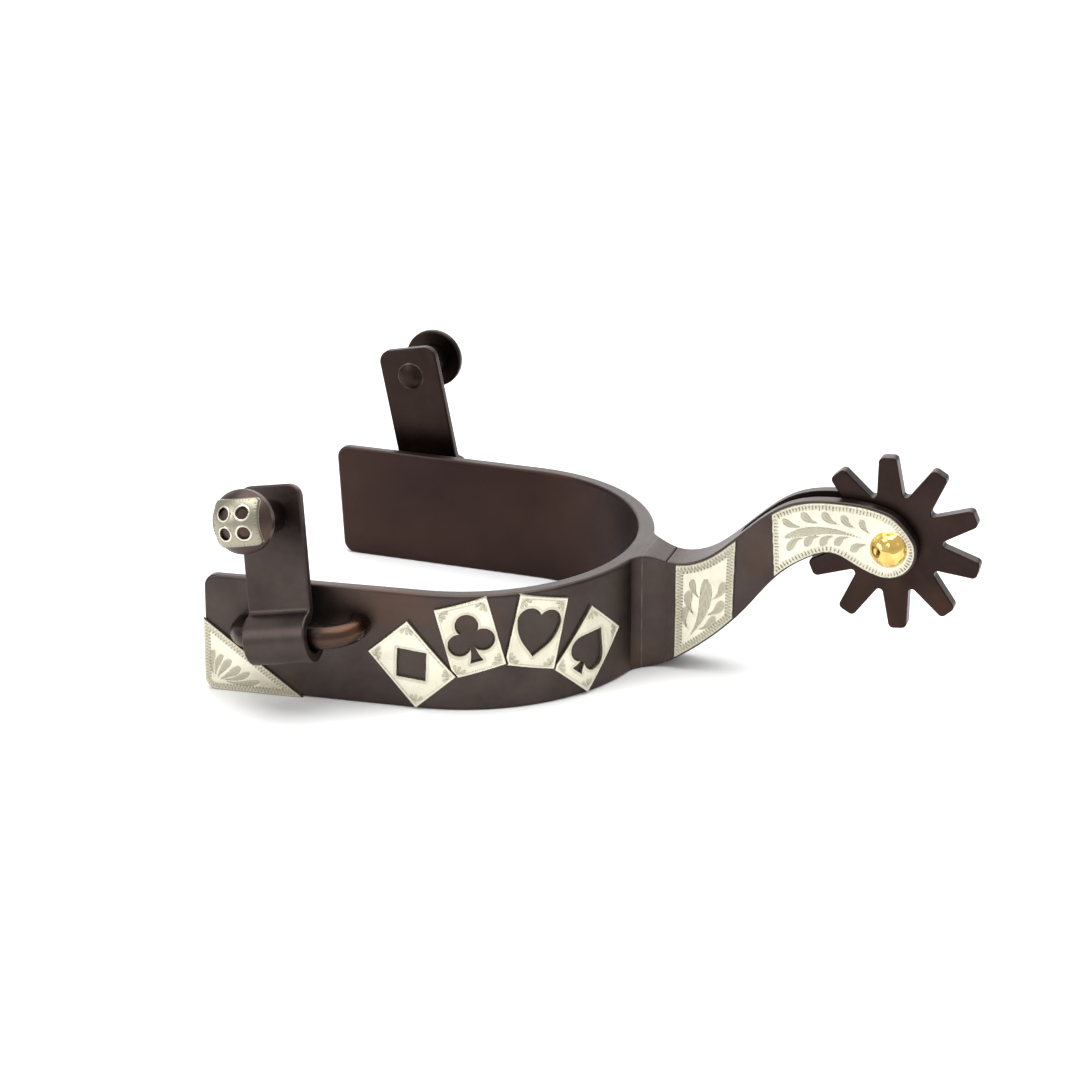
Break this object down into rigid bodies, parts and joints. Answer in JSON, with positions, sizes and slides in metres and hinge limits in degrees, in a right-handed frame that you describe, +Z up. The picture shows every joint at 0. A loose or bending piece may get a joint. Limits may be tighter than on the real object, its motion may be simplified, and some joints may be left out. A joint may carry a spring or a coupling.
{
  "type": "western spur",
  "caption": "Single-mounted western spur: U heel band with silver card overlays, slotted shank with a free rowel, and swinging strap hangers with buttons.",
  "frame": {"origin": "middle of the heel band's lower edge at the back of the heel, at the band's mid thickness", "axes": "+X from the boot's heel out along the shank to the rowel, -Y the outboard (silver) side, +Z up from the edge that the spur stands on"},
  "size_m": [0.1565, 0.1287, 0.0509],
  "materials": {
    "browned_steel": "browned, satin",
    "rowel_steel": "browned, satin",
    "engraved_silver": "bright-cut engraved nickel silver",
    "gold_brass": "polished"
  },
  "bodies": {
    "heel_band": {"heel_band": "browned_steel", "shank": "browned_steel", "staple_outboard": "browned_steel", "staple_inboard": "browned_steel", "rowel_pin": "browned_steel", "pin_head": "gold_brass", "corner_plate": "engraved_silver", "card_diamond": "engraved_silver", "card_club": "engraved_silver", "card_heart": "engraved_silver", "card_spade": "engraved_silver", "neck_plate": "engraved_silver", "cheek_plate": "engraved_silver"},
    "rowel": {"rowel": "rowel_steel"},
    "hanger_outboard": {"hanger_outboard": "browned_steel", "button_post_outboard": "browned_steel", "button_outboard": "browned_steel", "die_plate": "engraved_silver"},
    "hanger_inboard": {"hanger_inboard": "browned_steel", "button_post_inboard": "browned_steel", "button_inboard": "browned_steel"}
  },
  "joints": [
    {"name": "rowel_spin", "type": "hinge", "parent": "heel_band", "child": "rowel", "pos_m": [0.05505, 0, 0.0322], "axis": [0, 1, 0], "continuous": true},
    {"name": "hanger_outboard_swing", "type": "hinge", "parent": "heel_band", "child": "hanger_outboard", "pos_m": [-0.06149, -0.05041, 0.01602], "axis": [0.9833, -0.0326, 0.1788], "range_deg": [-14, 96]},
    {"name": "hanger_inboard_swing", "type": "hinge", "parent": "heel_band", "child": "hanger_inboard", "pos_m": [-0.06289, 0.05048, 0.01603], "axis": [-0.9783, 0.0496, -0.2011], "range_deg": [-30, 90]}
  ]
}
